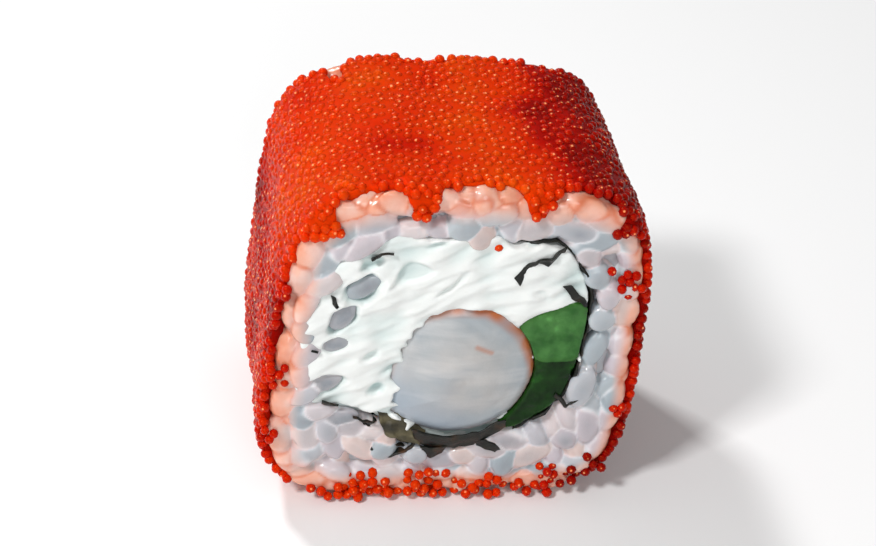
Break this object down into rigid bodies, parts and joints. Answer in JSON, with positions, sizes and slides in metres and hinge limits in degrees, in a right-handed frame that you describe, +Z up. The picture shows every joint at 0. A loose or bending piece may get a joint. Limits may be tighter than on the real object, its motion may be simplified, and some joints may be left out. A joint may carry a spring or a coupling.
{
  "type": "shrimp california roll",
  "caption": "Slice of an inside-out sushi roll: shrimp, soft cheese and cucumber in nori and rice under a coat of fish roe.",
  "frame": {"origin": "centre of the slice's bounding box on the plane it stands on", "axes": "+Z up; the cut face that is looked at faces -Y and the fillings run along Y; +X to the right as that face is looked at"},
  "size_m": [0.0466, 0.0326, 0.0451],
  "materials": {
    "roe": "wet, glossy orange to red fish eggs",
    "rice": "moist cooked rice, tinted by the roe where they meet",
    "nori": "damp black-green sheet",
    "cream_cheese": "soft white cheese, smeared by the knife",
    "shrimp": "moist pale grey cooked shrimp with an orange-pink rim",
    "cucumber": "moist green cucumber"
  },
  "bodies": {
    "root": {"roe_coat": "roe", "rice": "rice", "nori": "nori", "cream_cheese": "cream_cheese", "shrimp": "shrimp", "cucumber_upper": "cucumber", "cucumber_lower": "cucumber"}
  },
  "joints": []
}
